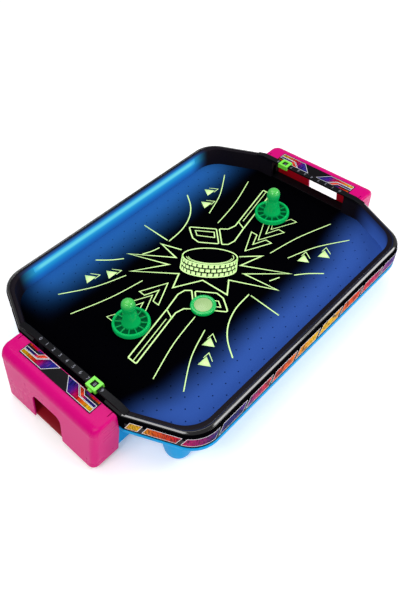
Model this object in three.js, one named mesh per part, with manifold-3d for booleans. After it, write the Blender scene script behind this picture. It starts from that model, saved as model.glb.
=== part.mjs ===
// Tabletop air hockey game, in millimetres, +Z up.
// Origin: on the ground under the table's centre. +X runs along the table towards the far goal.

import * as THREE from "three";
import { mergeVertices } from "three/addons/utils/BufferGeometryUtils.js";
import Module from "manifold-3d";

const wasm = await Module();
wasm.setup();

// ---------------------------------------------------------------- driving dimensions

const GAP = 0.3;                    // clearance between pieces that touch
const WALL = 2.2;                   // moulded wall thickness

// heights above the ground
const PAD_HEIGHT = 1.9;
const TUB_FLOOR = 8.5;
const LIP_BOTTOM = 46.5;
const LEDGE_TOP = 49.7;             // the playing surface rests here
const LIP_TOP = 52.5;
const PLAY_Z = 52;                  // top of the playing surface
const PLATE_THICKNESS = 2;
const RIM_TOP = 80.3;
const BAR_TOP = 84;

// plan of the playing field and of the frame's outside: an octagon with rounded long-side corners
const FIELD = { halfX: 224, halfY: 163, goalHalf: 91, run: 32.5, radius: 38 };
const OUTSIDE = { halfX: 234.5, halfY: 176, goalHalf: 91, run: 37.5, radius: 37 };
const CORNER_STEPS = 6;

// tub below the frame
const TUB_INSET_TOP = 16;
const TUB_INSET_FLOOR = 22;
const LIP_OVERHANG = 0.6;
const NECK_HALF_Y = 79.3;
const NECK_START = 200;
const NECK_END = 243;
const LEG_X = 193;
const LEG_Y = 133;

// goal mouth and goal box
const MOUTH_HALF = 64;
const BOX_REAR = 235.6;
const BOX_REAR_FOOT = 241;
const BOX_FRONT_FOOT = 279.8;
const BOX_FRONT_TOP = 270.5;
const BOX_BOTTOM = 6.8;
const BOX_TOP = 78.4;
const BOX_ROUND = 13;
const BOX_HALF_FOOT = 82.1;
const BOX_HALF_TOP = 87.3;
const NOTCH_HALF = 26;
const NOTCH_TOP = 47.5;
const NOTCH_CORNER = 9;
const SLIT_Y = [79.8, 80.9];        // short cuts in the roof, near its two rear corners

// printed stickers
const STICKER_THICKNESS = 0.4;
const BAND_BOTTOM = 55.6;
const BAND_TOP = 68.2;
const BOX_STICKER_FRONT = 254;
const BOX_STICKER_HALF = 63.6;

// scoring
const BAR_X = 226.75;               // centre line of the score bar
const BAR_WIDTH = 8.5;
const BAR_HALF_LENGTH = 94.3;
const SCORE_ZERO_Y = 55;
const SCORE_PITCH = 12.16;
const SHOWN_SCORE = 8;
const SLIDER_LENGTH = 16;

// light bars in the long walls
const LIGHT_HALF = 157;
const LIGHT_BOTTOM = 67.8;
const LIGHT_TOP = 77.8;

// loose playing pieces
const STRIKER_RADIUS = 24.6;
const RIB_COUNT = 12;
const STRIKER_PLACES = { near: [-125.4, 10.4], far: [153.7, 7.4] };
const PUCK_RADIUS = 16.75;
const PUCK_PLACE = [-43.5, -37];

// blower, at the table's centre
const GRILLE_RADIUS = 30.7;
const GRILLE_PITCH = 7;
const GRILLE_SLOT_REACH = 27;
const HOUSING_RADIUS = 36;
const HOUSING_TOP = 28.8;
const IMPELLER_RADIUS = 29;
const BLADE_COUNT = 9;

// battery compartment
const BATTERY_X = 120;
const BAY_HALF_X = 33;
const BAY_HALF_Y = 31;
const BAY_TOP = 30;
const DOOR_HALF_X = 30.7;
const DOOR_HALF_Y = 28.7;
const DOOR_HINGE_INSET = 0.95;
const CELL_RADIUS = 7.2;
const CELL_PITCH = 15.2;
const CELL_HALF = 24;
const CELL_Z = 20.4;

// power switch in the back wall of the tub
const SWITCH_X = -60;
const SWITCH_Z = 28;
const SWITCH_TRAVEL = 5.5;
const KNOB_WIDTH = 5.4;

const SCREW_PLACES = [
  [-163, -169.5], [163, -169.5], [-163, 169.5], [163, 169.5],
  [-229.2, -85.5], [-229.2, 85.5], [229.2, -85.5], [229.2, 85.5],
];

// ---------------------------------------------------------------- looks

const LOOKS = {
  cyan: { color: 0x0aa0e6, roughness: 0.42, metalness: 0 },
  black: { color: 0x15151a, roughness: 0.3, metalness: 0 },
  field: { color: 0x1b2f66, roughness: 0.35, metalness: 0 },
  light: { color: 0x4fd8ff, roughness: 0.3, metalness: 0 },
  board: { color: 0xd8dccf, roughness: 0.6, metalness: 0 },
  pink: { color: 0xe4068f, roughness: 0.35, metalness: 0 },
  tray: { color: 0xc00a5a, roughness: 0.45, metalness: 0 },
  label: { color: 0xd8473a, roughness: 0.4, metalness: 0 },
  lime: { color: 0x7ee04a, roughness: 0.35, metalness: 0 },
  green: { color: 0x12b85a, roughness: 0.2, metalness: 0 },
  core: { color: 0xc9e89a, roughness: 0.3, metalness: 0 },
  felt: { color: 0x202522, roughness: 1, metalness: 0 },
  rubber: { color: 0x1c1c1e, roughness: 0.9, metalness: 0 },
  steel: { color: 0xb8bcc2, roughness: 0.3, metalness: 1 },
  grey: { color: 0x55595f, roughness: 0.5, metalness: 0 },
  cell: { color: 0x2c6e49, roughness: 0.35, metalness: 0 },
  wire: { color: 0xb3201f, roughness: 0.5, metalness: 0 },
};

// ---------------------------------------------------------------- solids

function toSolid(geometry) {
  const bare = geometry.clone();
  bare.deleteAttribute("normal");
  bare.deleteAttribute("uv");
  const merged = mergeVertices(bare, 1e-4);
  const vertProperties = new Float32Array(merged.attributes.position.array);
  const triVerts = new Uint32Array(merged.index.array);
  return new wasm.Manifold(new wasm.Mesh({ numProp: 3, vertProperties, triVerts }));
}

function toGeometry(solid) {
  const mesh = solid.getMesh();
  const geometry = new THREE.BufferGeometry();
  geometry.setAttribute("position", new THREE.BufferAttribute(new Float32Array(mesh.vertProperties), 3));
  geometry.setIndex(new THREE.BufferAttribute(new Uint32Array(mesh.triVerts), 1));
  geometry.computeVertexNormals();
  return geometry;
}

function join(...geometries) {
  return toGeometry(geometries.map(toSolid).reduce((sum, piece) => sum.add(piece)));
}

function cut(geometry, ...tools) {
  return toGeometry(tools.map(toSolid).reduce((rest, tool) => rest.subtract(tool), toSolid(geometry)));
}

function common(first, second) {
  return toGeometry(toSolid(first).intersect(toSolid(second)));
}

function box([x0, x1], [y0, y1], [z0, z1]) {
  const geometry = new THREE.BoxGeometry(x1 - x0, y1 - y0, z1 - z0);
  return geometry.translate((x0 + x1) / 2, (y0 + y1) / 2, (z0 + z1) / 2);
}

function cylinder(radius, z0, z1, x = 0, y = 0, steps = 16) {
  const geometry = new THREE.CylinderGeometry(radius, radius, z1 - z0, steps);
  return geometry.rotateX(Math.PI / 2).translate(x, y, (z0 + z1) / 2);
}

// The span from a to b on the side of the middle that side gives, lowest value first.
function spanOn(side, a, b) {
  return [side * a, side * b].sort((p, q) => p - q);
}

// profile: [radius, z] points; it starts and ends on the axis, or closes on itself
function lathe(profile, steps) {
  const points = profile.map(([radius, z]) => new THREE.Vector2(radius, z));
  return new THREE.LatheGeometry(points, steps).rotateX(Math.PI / 2);
}

function ringLathe(profile, steps) {
  return lathe([...profile, profile[0]], steps);
}

// Turn a list of triangles round if it encloses a negative volume.
function closedGeometry(points, triangles) {
  let volume = 0;
  for (const [a, b, c] of triangles) {
    volume += points[a].dot(new THREE.Vector3().crossVectors(points[b], points[c]));
  }
  const order = volume > 0 ? triangles : triangles.map(([a, b, c]) => [a, c, b]);
  const geometry = new THREE.BufferGeometry().setFromPoints(points);
  geometry.setIndex(order.flat());
  geometry.computeVertexNormals();
  return geometry;
}

// Skin over a stack of loops with equal point counts; the two ends are closed unless the stack is a ring.
function loft(loops, ring = false) {
  const count = loops[0].length;
  const triangles = [];
  const last = ring ? loops.length : loops.length - 1;
  for (let row = 0; row < last; row += 1) {
    const next = (row + 1) % loops.length;
    for (let i = 0; i < count; i += 1) {
      const j = (i + 1) % count;
      const corners = [row * count + i, row * count + j, next * count + j, next * count + i];
      triangles.push([corners[0], corners[1], corners[2]], [corners[0], corners[2], corners[3]]);
    }
  }
  if (!ring) {
    const top = (loops.length - 1) * count;
    for (let i = 1; i < count - 1; i += 1) {
      triangles.push([0, i + 1, i], [top, top + i, top + i + 1]);
    }
  }
  return closedGeometry(loops.flat(), triangles);
}

// ---------------------------------------------------------------- plan outlines

function planCorners({ halfX, halfY, goalHalf, run }) {
  return [
    [halfX, -goalHalf], [halfX, goalHalf], [halfX - run, halfY], [run - halfX, halfY],
    [-halfX, goalHalf], [-halfX, -goalHalf], [run - halfX, -halfY], [halfX - run, -halfY],
  ].map(([x, y]) => new THREE.Vector2(x, y));
}

// Move every edge of a counter-clockwise polygon outwards by a distance.
function offsetCorners(corners, distance) {
  const count = corners.length;
  return corners.map((corner, i) => {
    const before = corner.clone().sub(corners[(i + count - 1) % count]).normalize();
    const after = corners[(i + 1) % count].clone().sub(corner).normalize();
    const normalBefore = new THREE.Vector2(before.y, -before.x);
    const normalAfter = new THREE.Vector2(after.y, -after.x);
    const bisector = normalBefore.clone().add(normalAfter);
    return corner.clone().addScaledVector(bisector, distance / (1 + normalBefore.dot(normalAfter)));
  });
}

function roundCorner(before, corner, after, radius, steps) {
  const back = before.clone().sub(corner).normalize();
  const ahead = after.clone().sub(corner).normalize();
  const half = Math.acos(back.dot(ahead)) / 2;
  const middle = back.clone().add(ahead).normalize();
  const centre = corner.clone().addScaledVector(middle, radius / Math.sin(half));
  const start = corner.clone().addScaledVector(back, radius / Math.tan(half)).sub(centre);
  const sweep = Math.PI - 2 * half;
  const points = [];
  for (let i = 0; i <= steps; i += 1) {
    points.push(start.clone().rotateAround(new THREE.Vector2(), (sweep * i) / steps).add(centre));
  }
  return points;
}

// Outline of a plan, moved outwards by offset; only the four long-side corners are round.
function outline(plan, offset = 0) {
  const corners = offsetCorners(planCorners(plan), offset);
  return corners.flatMap((corner, i) => {
    const isRound = i % 4 >= 2;
    if (!isRound) return [corner];
    const before = corners[i - 1];
    const after = corners[(i + 1) % corners.length];
    return roundCorner(before, corner, after, plan.radius + offset, CORNER_STEPS);
  });
}

function level(points, z) {
  return points.map((point) => new THREE.Vector3(point.x, point.y, z));
}

// A ring between the field's outline (share 0) and the outside outline (share 1).
function wallRing(profile) {
  const inner = outline(FIELD);
  const outer = outline(OUTSIDE);
  const loops = inner.map((point, i) => profile.map(([share, z]) => {
    const spot = point.clone().lerp(outer[i], share);
    return new THREE.Vector3(spot.x, spot.y, z);
  }));
  return loft(loops, true);
}

// ---------------------------------------------------------------- scene helpers

const game = new THREE.Group();

function place(name, geometry, look, parent = game) {
  const mesh = new THREE.Mesh(geometry, new THREE.MeshStandardMaterial(LOOKS[look]));
  mesh.name = name;
  parent.add(mesh);
  return mesh;
}

// Each end of the table is built at the +X end; the near end is the same group turned half round.
const ends = ["near", "far"].map((name) => {
  const group = new THREE.Group();
  group.rotation.z = name === "near" ? Math.PI : 0;
  game.add(group);
  return { name, group };
});

// ---------------------------------------------------------------- base tub

function cupLeg(shrink) {
  const foot = PAD_HEIGHT + GAP + shrink;
  return lathe([
    [0, foot],
    [11 - shrink, foot],
    [14.2 - shrink, foot + 2.6],
    [16.4 - shrink, foot + 8],
    [17.6 - shrink, foot + 18],
    [18.8 - shrink, LIP_BOTTOM + 0.5 - shrink],
    [0, LIP_BOTTOM + 0.5 - shrink],
  ], 24);
}

function baseTub() {
  const shell = loft([
    level(outline(OUTSIDE, -TUB_INSET_FLOOR), TUB_FLOOR),
    level(outline(OUTSIDE, -TUB_INSET_TOP), LIP_BOTTOM),
    level(outline(OUTSIDE, LIP_OVERHANG), LIP_BOTTOM + 0.01),
    level(outline(OUTSIDE, LIP_OVERHANG), LIP_TOP),
  ]);
  const hollow = loft([
    level(outline(OUTSIDE, -TUB_INSET_FLOOR - WALL), TUB_FLOOR + WALL),
    level(outline(OUTSIDE, -TUB_INSET_TOP - WALL), LEDGE_TOP),
    level(outline(OUTSIDE, LIP_OVERHANG - WALL), LEDGE_TOP + 0.01),
    level(outline(OUTSIDE, LIP_OVERHANG - WALL), LIP_TOP + 1),
  ]);
  const neckOutside = [-1, 1].map((side) => {
    const span = spanOn(side, NECK_START, NECK_END);
    return box(span, [-NECK_HALF_Y, NECK_HALF_Y], [TUB_FLOOR, LEDGE_TOP]);
  });
  const neckHollow = [-1, 1].map((side) => {
    const span = spanOn(side, NECK_START - 10, NECK_END - WALL);
    return box(span, [WALL - NECK_HALF_Y, NECK_HALF_Y - WALL], [TUB_FLOOR + WALL, LEDGE_TOP - WALL]);
  });
  const mouthCuts = [-1, 1].map((side) => {
    const span = spanOn(side, FIELD.halfX + 2, OUTSIDE.halfX + 3.5);
    return box(span, [-MOUTH_HALF - 3, MOUTH_HALF + 3], [LEDGE_TOP, LIP_TOP + 1]);
  });
  const legPlaces = [[LEG_X, LEG_Y], [-LEG_X, LEG_Y], [-LEG_X, -LEG_Y], [LEG_X, -LEG_Y]];
  const legs = legPlaces.map(([x, y]) => cupLeg(0).translate(x, y, 0));
  const legHollows = legPlaces.map(([x, y]) => cupLeg(WALL).translate(x, y, 0));
  const openings = [
    cylinder(GRILLE_RADIUS + GAP, TUB_FLOOR - 1, TUB_FLOOR + WALL + 1, 0, 0, 32),
    box(
      [BATTERY_X - DOOR_HALF_X - GAP, BATTERY_X + DOOR_HALF_X + GAP],
      [-DOOR_HALF_Y - GAP, DOOR_HALF_Y + GAP],
      [TUB_FLOOR - 1, TUB_FLOOR + WALL + 1],
    ),
    box([SWITCH_X - 6.4, SWITCH_X + 6.4], [150, 165], [SWITCH_Z - 2.2, SWITCH_Z + 2.2]),
  ];
  const screwHoles = SCREW_PLACES.map(([x, y]) => cylinder(1.5, LIP_BOTTOM - 1, LIP_TOP, x, y, 10));
  return cut(
    join(shell, ...neckOutside, ...legs),
    hollow, ...neckHollow, ...mouthCuts, ...legHollows, ...openings, ...screwHoles,
  );
}

place("base_tub", baseTub(), "cyan");

[[-1, -1], [-1, 1], [1, -1], [1, 1]].forEach(([sideX, sideY], i) => {
  const pad = place(`foot_pad_${i + 1}`, cylinder(10, 0, PAD_HEIGHT, 0, 0, 20), "rubber");
  pad.position.set(sideX * LEG_X, sideY * LEG_Y, 0);
});

// ---------------------------------------------------------------- wall frame

function rimFrame() {
  const flat = RIM_TOP - 0.5;
  const under = RIM_TOP - WALL;
  const foot = PLAY_Z + GAP;
  const skirt = LIP_TOP + GAP;
  const ring = wallRing([
    [0, foot], [0, flat - 0.8], [0.06, flat], [0.42, flat], [0.47, flat - 0.7], [0.53, flat - 0.5],
    [0.62, RIM_TOP], [0.82, RIM_TOP - 0.3], [0.94, RIM_TOP - 1.9], [1, RIM_TOP - 4.4], [1, skirt],
    [0.83, skirt], [0.83, under - 3], [0.7, under], [0.17, under], [0.17, foot],
  ]);
  const mouths = [-1, 1].map((side) => {
    const span = spanOn(side, FIELD.halfX - 4, OUTSIDE.halfX + 5.5);
    return box(span, [-MOUTH_HALF, MOUTH_HALF], [PLAY_Z - 5, RIM_TOP + 5]);
  });
  const sillStart = FIELD.halfX + 3 + GAP;
  const sillBottom = LEDGE_TOP + 0.4;
  const cheek = MOUTH_HALF + 2;
  const sills = [-1, 1].flatMap((side) => {
    const length = spanOn(side, sillStart, NECK_END);
    const pieces = [box(length, [-cheek, cheek], [sillBottom, PLAY_Z])];
    for (const hand of [-1, 1]) {
      const wall = spanOn(hand, MOUTH_HALF, cheek);
      pieces.push(
        box(length, wall, [sillBottom, RIM_TOP - 9]),
        box(spanOn(side, FIELD.halfX, OUTSIDE.halfX), wall, [PLAY_Z + GAP, flat]),
      );
    }
    return pieces;
  });
  const bosses = SCREW_PLACES.map(([x, y]) => cylinder(3.4, skirt, under + 0.5, x, y, 12));
  const pilots = SCREW_PLACES.map(([x, y]) => cylinder(1.5, skirt - 1, skirt + 12, x, y, 10));
  const lightSlots = [-1, 1].map((side) => {
    const depth = spanOn(side, FIELD.halfY - 1, FIELD.halfY + 3);
    return box([-LIGHT_HALF, LIGHT_HALF], depth, [LIGHT_BOTTOM, LIGHT_TOP]);
  });
  return cut(join(cut(ring, ...mouths), ...sills, ...bosses), ...pilots, ...lightSlots);
}

place("rim_frame", rimFrame(), "black");

function frameScrew() {
  const head = LIP_BOTTOM - GAP;
  return lathe([
    [0, head - 2.2], [2.3, head - 2.2], [2.9, head - 1], [2.9, head],
    [1.2, head], [1.2, head + 15], [0, head + 16],
  ], 12);
}

SCREW_PLACES.forEach(([x, y], i) => {
  place(`frame_screw_${i + 1}`, frameScrew(), "steel").position.set(x, y, 0);
});

// ---------------------------------------------------------------- playing surface

const plateOutline = outline(FIELD, 3);
const plateBottom = PLAY_Z - PLATE_THICKNESS;
place("play_surface", loft([level(plateOutline, plateBottom), level(plateOutline, PLAY_Z)]), "field");

// ---------------------------------------------------------------- lights in the long walls

for (const [name, side] of [["front", -1], ["back", 1]]) {
  const across = (a, b) => spanOn(side, FIELD.halfY + a, FIELD.halfY + b);
  const rail = box(
    [GAP - LIGHT_HALF, LIGHT_HALF - GAP],
    across(-0.7, 3.2),
    [LIGHT_BOTTOM + GAP, LIGHT_TOP - GAP],
  );
  place(`light_rail_${name}`, rail, "light");
  const strip = box([7 - LIGHT_HALF, LIGHT_HALF - 7], across(3.6, 4.8), [LIGHT_BOTTOM + 2, LIGHT_TOP - 2]);
  place(`led_strip_${name}`, strip, "board");
}

// ---------------------------------------------------------------- printed band round the outside

// A thin strip along the front half of the outside, from goal corner to goal corner.
function sideLabel() {
  const start = 0.35;
  const inside = outline(OUTSIDE, start);
  const outside = outline(OUTSIDE, start + STICKER_THICKNESS);
  const isFront = (point) => point.y < -OUTSIDE.goalHalf - 3;
  const firstCorner = 2 + 2 * (CORNER_STEPS + 1) + 2;
  const span = inside.map((point, i) => i).filter((i) => i >= firstCorner && isFront(inside[i]));
  const entry = (points) => points[firstCorner - 1].clone().lerp(points[firstCorner], 0.06);
  const leave = (points) => points[0].clone().lerp(points[points.length - 1], 0.06);
  const run = (points) => [entry(points), ...span.map((i) => points[i]), leave(points)];
  const near = run(inside);
  const far = run(outside);
  return loft(near.map((point, i) => [
    new THREE.Vector3(point.x, point.y, BAND_BOTTOM),
    new THREE.Vector3(far[i].x, far[i].y, BAND_BOTTOM),
    new THREE.Vector3(far[i].x, far[i].y, BAND_TOP),
    new THREE.Vector3(point.x, point.y, BAND_TOP),
  ]));
}

place("side_label_front", sideLabel(), "label");
place("side_label_back", sideLabel(), "label").rotation.z = Math.PI;

// ---------------------------------------------------------------- score bar and slider

function scoreBar() {
  const half = BAR_WIDTH / 2;
  const blocks = [-1, 1].map((side) => {
    const span = spanOn(side, MOUTH_HALF, BAR_HALF_LENGTH);
    return box([BAR_X - half, BAR_X + half], span, [RIM_TOP + GAP, BAR_TOP]);
  });
  const bridge = box([BAR_X - half, BAR_X + half], [-MOUTH_HALF, MOUTH_HALF], [BAR_TOP - 2.7, BAR_TOP]);
  return join(bridge, ...blocks);
}

function scoreSlider() {
  const wrap = BAR_WIDTH / 2 + 0.4;
  const side = wrap + 2.4;
  const half = SLIDER_LENGTH / 2;
  const body = box([-side, side], [-half, half], [BAR_TOP - 4.4, BAR_TOP + 2]);
  const tunnel = box([-wrap, wrap], [-half - 1, half + 1], [BAR_TOP - 3.1, BAR_TOP + 0.4]);
  const mouth = box([2 - wrap, wrap - 2], [-half - 1, half + 1], [BAR_TOP - 6, BAR_TOP - 3]);
  const window = box([-4, 4], [-4, 4], [BAR_TOP, BAR_TOP + 3]);
  const tab = box([side - 0.5, side + 2.2], [-3, 3], [BAR_TOP - 4.4, BAR_TOP - 2]);
  return cut(join(body, tab), tunnel, mouth, window);
}

for (const { name, group } of ends) {
  place(`score_bar_${name}`, scoreBar(), "black", group);
  const slider = place(`score_slider_${name}`, scoreSlider(), "lime", group);
  slider.position.set(BAR_X, SHOWN_SCORE * SCORE_PITCH - SCORE_ZERO_Y, 0);
}

// ---------------------------------------------------------------- goal box, tray and label

// One horizontal loop of the box, open side towards the table.
function boxLoop(rear, front, halfWidth, radius, z) {
  const points = [new THREE.Vector3(rear, -halfWidth, z)];
  for (const [side, start] of [[-1, -Math.PI / 2], [1, 0]]) {
    for (let i = 0; i <= 4; i += 1) {
      const angle = start + (i / 4) * (Math.PI / 2);
      const x = front - radius + radius * Math.cos(angle);
      const y = side * (halfWidth - radius) + radius * Math.sin(angle);
      points.push(new THREE.Vector3(x, y, z));
    }
  }
  points.push(new THREE.Vector3(rear, halfWidth, z));
  return points;
}

function boxSkin(inset, rearShift, bottom) {
  const shoulder = BOX_TOP - BOX_ROUND;
  const top = BOX_TOP - inset;
  const { mapLinear } = THREE.MathUtils;
  const frontAt = (z) => mapLinear(z, BOX_BOTTOM, shoulder, BOX_FRONT_FOOT, BOX_FRONT_TOP) - inset;
  const halfAt = (z) => mapLinear(z, BOX_BOTTOM, BOX_TOP, BOX_HALF_FOOT, BOX_HALF_TOP) - inset;
  const rearSlope = (z) => mapLinear(z, BOX_BOTTOM, LIP_BOTTOM, BOX_REAR_FOOT, BOX_REAR);
  const rearAt = (z) => Math.max(BOX_REAR, rearSlope(z)) + rearShift;
  const corner = 9 - inset;
  const loops = [bottom, LIP_BOTTOM - 1, shoulder].map((z) => (
    boxLoop(rearAt(z), frontAt(z), halfAt(z), corner, z)
  ));
  const round = BOX_ROUND - inset;
  for (const [angle, tuck] of [[30, 0.3], [55, 0.6], [75, 1.4], [90, 3.2]]) {
    const bend = THREE.MathUtils.degToRad(angle);
    const z = shoulder + (top - shoulder) * Math.sin(bend);
    const front = frontAt(shoulder) - round * (1 - Math.cos(bend));
    loops.push(boxLoop(BOX_REAR + rearShift, front, halfAt(z) - tuck, corner, z));
  }
  return loft(loops);
}

function notch() {
  const shape = new THREE.Shape();
  const arcX = NOTCH_HALF - NOTCH_CORNER;
  const arcY = NOTCH_TOP - NOTCH_CORNER;
  shape.moveTo(-NOTCH_HALF, 0);
  shape.lineTo(NOTCH_HALF, 0);
  shape.lineTo(NOTCH_HALF, arcY);
  shape.absarc(arcX, arcY, NOTCH_CORNER, 0, Math.PI / 2);
  shape.absarc(-arcX, arcY, NOTCH_CORNER, Math.PI / 2, Math.PI);
  shape.lineTo(-NOTCH_HALF, 0);
  const solid = new THREE.ExtrudeGeometry(shape, { depth: 30, bevelEnabled: false, curveSegments: 4 });
  return solid.rotateX(Math.PI / 2).rotateZ(Math.PI / 2).translate(262, 0, 0);
}

function goalBox() {
  const slits = [-1, 1].map((side) => (
    box([BOX_REAR - 1, BOX_REAR + 7.5], spanOn(side, ...SLIT_Y), [BOX_TOP - 4, BOX_TOP + 1])
  ));
  return cut(boxSkin(0, 0, BOX_BOTTOM), boxSkin(WALL, -12, BOX_BOTTOM - 2), notch(), ...slits);
}

// The floor rises towards both ends, so the puck slides to the notch.
function goalTray() {
  const half = 78.5;
  const shape = new THREE.Shape();
  shape.moveTo(-half, 8);
  shape.lineTo(half, 8);
  shape.lineTo(half, 20);
  shape.lineTo(NOTCH_HALF + 1, 10);
  shape.lineTo(-NOTCH_HALF - 1, 10);
  shape.lineTo(-half, 20);
  shape.lineTo(-half, 8);
  const block = new THREE.ExtrudeGeometry(shape, { depth: 40, bevelEnabled: false });
  block.rotateX(Math.PI / 2).rotateZ(Math.PI / 2).translate(NECK_END + 0.5, 0, 0);
  return common(block, boxSkin(WALL + GAP, 0, BOX_BOTTOM));
}

for (const { name, group } of ends) {
  place(`goal_box_${name}`, goalBox(), "pink", group);
  place(`goal_tray_${name}`, goalTray(), "tray", group);
  const sticker = box(
    [BOX_REAR + 1, BOX_STICKER_FRONT],
    [-BOX_STICKER_HALF, BOX_STICKER_HALF],
    [BOX_TOP + GAP, BOX_TOP + GAP + STICKER_THICKNESS],
  );
  place(`box_label_${name}`, sticker, "label", group);
}

// ---------------------------------------------------------------- strikers and puck

function strikerBody() {
  const turned = lathe([
    [0, 1.6], [22.8, 1.6], [STRIKER_RADIUS, 3], [STRIKER_RADIUS, 7], [23.4, 8.8], [21.2, 8.8],
    [20.2, 4.4], [12.8, 4.4], [12.4, 7], [11.4, 10.5], [10.2, 15], [9.2, 21], [8.3, 27], [7.8, 32],
    [8.1, 40.5], [6.8, 44], [3.8, 46], [0, 46.6],
  ], 24);
  const ribs = Array.from({ length: RIB_COUNT }, (unused, i) => {
    const rib = box([11.8, 20.9], [-0.8, 0.8], [4, 8]);
    return rib.rotateZ((i / RIB_COUNT) * 2 * Math.PI + Math.PI / 24);
  });
  return join(turned, ...ribs);
}

for (const [name, [x, y]] of Object.entries(STRIKER_PLACES)) {
  const striker = new THREE.Group();
  striker.position.set(x, y, PLAY_Z);
  game.add(striker);
  place(`striker_${name}`, strikerBody(), "green", striker);
  const felt = ringLathe([[14, GAP], [22, GAP], [22, 1.3], [14, 1.3]], 24);
  place(`striker_felt_${name}`, felt, "felt", striker);
}

const puck = new THREE.Group();
puck.position.set(PUCK_PLACE[0], PUCK_PLACE[1], PLAY_Z);
game.add(puck);
const puckRim = ringLathe([
  [11.8, GAP], [15.8, GAP], [PUCK_RADIUS, 1.4], [PUCK_RADIUS, 4.6], [15.8, 5.8], [12.6, 5.8], [11.8, 5.2],
], 28);
place("puck_ring", puckRim, "green", puck);
place("puck_core", cylinder(11.5, 0.7, 5.1, 0, 0, 28), "core", puck);

// ---------------------------------------------------------------- blower

function intakeGrille() {
  const disc = cylinder(GRILLE_RADIUS, TUB_FLOOR, TUB_FLOOR + WALL, 0, 0, 32);
  const slots = [-3, -2, -1, 0, 1, 2, 3].map((i) => {
    const x = i * GRILLE_PITCH;
    const reach = Math.sqrt(GRILLE_SLOT_REACH ** 2 - x ** 2);
    return box([x - 1.7, x + 1.7], [-reach, reach], [TUB_FLOOR - 1, TUB_FLOOR + WALL + 1]);
  });
  return cut(disc, ...slots);
}

function fanHousing() {
  const inner = HOUSING_RADIUS - 1.8;
  const base = TUB_FLOOR + WALL + GAP;
  const cup = ringLathe([
    [HOUSING_RADIUS, base], [HOUSING_RADIUS, HOUSING_TOP], [2.5, HOUSING_TOP],
    [2.5, HOUSING_TOP - 1.8], [inner, HOUSING_TOP - 1.8], [inner, base],
  ], 32);
  const outlet = box([-14, 14], [-HOUSING_RADIUS - 2, -20], [base + 2, HOUSING_TOP - 3.5]);
  return cut(cup, outlet);
}

function impeller() {
  const disc = cylinder(IMPELLER_RADIUS, 13.5, 15, 0, 0, 28);
  const hub = cylinder(5, 13.5, 24, 0, 0, 16);
  const blades = Array.from({ length: BLADE_COUNT }, (unused, i) => {
    const blade = box([4.5, 20], [-0.8, 0.8], [14.5, 24]);
    return blade.rotateZ(0.6).translate(8, 0, 0).rotateZ((i / BLADE_COUNT) * 2 * Math.PI);
  });
  return cut(join(disc, hub, ...blades), cylinder(1.3, 12, 26, 0, 0, 12));
}

function fanMotor() {
  const can = cylinder(12, HOUSING_TOP + GAP, 47, 0, 0, 24);
  const flats = box([-13, 13], [-9.2, 9.2], [HOUSING_TOP, 48]);
  return cut(common(can, flats), cylinder(1.3, HOUSING_TOP, HOUSING_TOP + 6, 0, 0, 12));
}

place("intake_grille", intakeGrille(), "grey");
place("fan_housing", fanHousing(), "grey");
place("impeller", impeller(), "board");
place("motor_shaft", cylinder(1, 14, HOUSING_TOP + 5, 0, 0, 12), "steel");
place("fan_motor", fanMotor(), "steel");

// ---------------------------------------------------------------- batteries

const power = new THREE.Group();
power.position.x = BATTERY_X;
game.add(power);

function batteryBox() {
  const base = TUB_FLOOR + WALL + GAP;
  const skin = 1.8;
  const outside = box([-BAY_HALF_X, BAY_HALF_X], [-BAY_HALF_Y, BAY_HALF_Y], [base, BAY_TOP]);
  const inside = box(
    [skin - BAY_HALF_X, BAY_HALF_X - skin],
    [skin - BAY_HALF_Y, BAY_HALF_Y - skin],
    [base - 1, BAY_TOP - skin],
  );
  return cut(outside, inside);
}

// The hinge edge is half round, so that the lid turns inside its opening.
function batteryDoor() {
  const centre = TUB_FLOOR + 1;
  const hinge = DOOR_HALF_X - DOOR_HINGE_INSET;
  const shape = new THREE.Shape();
  shape.moveTo(-DOOR_HALF_X, centre - 1);
  shape.lineTo(hinge, centre - 1);
  shape.absarc(hinge, centre, 1, -Math.PI / 2, Math.PI / 2);
  shape.lineTo(-DOOR_HALF_X, centre + 1);
  shape.lineTo(-DOOR_HALF_X, centre - 1);
  const depth = 2 * DOOR_HALF_Y;
  const plate = new THREE.ExtrudeGeometry(shape, { depth, bevelEnabled: false, curveSegments: 6 });
  return plate.rotateX(Math.PI / 2).translate(0, DOOR_HALF_Y, 0);
}

function cell() {
  const profile = [
    [0, -CELL_HALF], [CELL_RADIUS, -CELL_HALF], [CELL_RADIUS, CELL_HALF],
    [2.6, CELL_HALF], [2.6, CELL_HALF + 1], [0, CELL_HALF + 1],
  ];
  return lathe(profile, 16);
}

function contactPlate() {
  const plate = box([-29, 29], [28.2, 28.8], [14, 26]);
  const bumps = [-1.5, -0.5, 0.5, 1.5].map((step) => {
    const bump = new THREE.CylinderGeometry(3.2, 1.6, 2.6, 12);
    return bump.translate(step * CELL_PITCH, 27, CELL_Z);
  });
  return join(plate, ...bumps);
}

place("battery_box", batteryBox(), "grey", power);
place("battery_door", batteryDoor(), "cyan", power);
[0, 1, 2, 3].forEach((i) => {
  const battery = place(`battery_${i + 1}`, cell(), "cell", power);
  battery.position.set((i - 1.5) * CELL_PITCH, 0, CELL_Z);
  battery.rotation.x = i % 2 ? Math.PI / 2 : -Math.PI / 2;
});
place("battery_contacts_back", contactPlate(), "steel", power);
place("battery_contacts_front", contactPlate(), "steel", power).rotation.z = Math.PI;

// ---------------------------------------------------------------- power switch

function switchBody() {
  const block = box([SWITCH_X - 10, SWITCH_X + 10], [140, 153.2], [SWITCH_Z - 6, SWITCH_Z + 6]);
  const track = box([SWITCH_X - 7, SWITCH_X + 7], [147.5, 154], [SWITCH_Z - 2.2, SWITCH_Z + 2.2]);
  return cut(block, track);
}

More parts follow.
